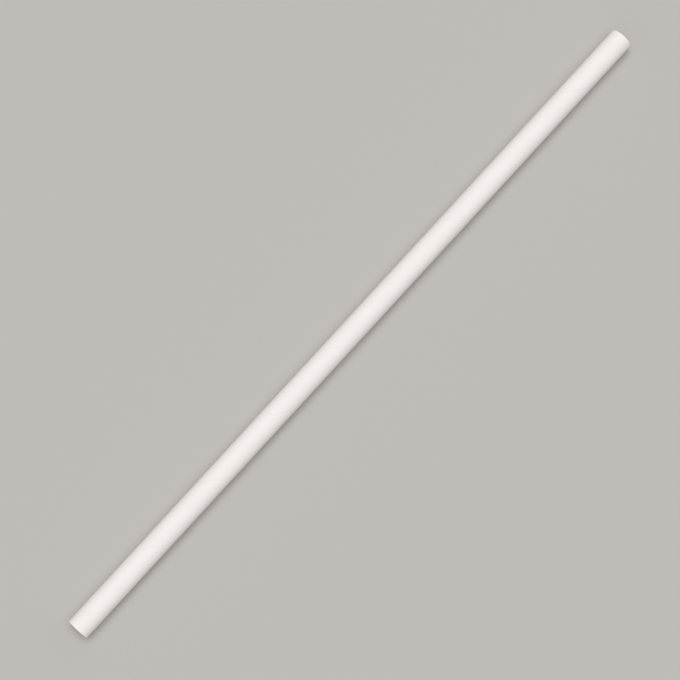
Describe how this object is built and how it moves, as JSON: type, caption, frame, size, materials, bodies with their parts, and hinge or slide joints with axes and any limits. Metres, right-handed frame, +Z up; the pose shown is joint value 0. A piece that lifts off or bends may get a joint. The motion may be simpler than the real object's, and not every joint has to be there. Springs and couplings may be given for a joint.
{
  "type": "paper drinking straw",
  "caption": "Plain white drinking straw: a straight, spiral-wound paper tube, open and cut square at both ends, lying on its side.",
  "frame": {"origin": "on the surface that the straw lies on, under the middle of its length", "axes": "+X along the straw, towards the end that is at the upper right in the picture; +Z up from the surface; +Y to the side that is at the upper left in the picture"},
  "size_m": [0.2, 0.006, 0.0059],
  "materials": {
    "paper": "matte"
  },
  "bodies": {
    "root": {"straw_tube": "paper"}
  },
  "joints": []
}
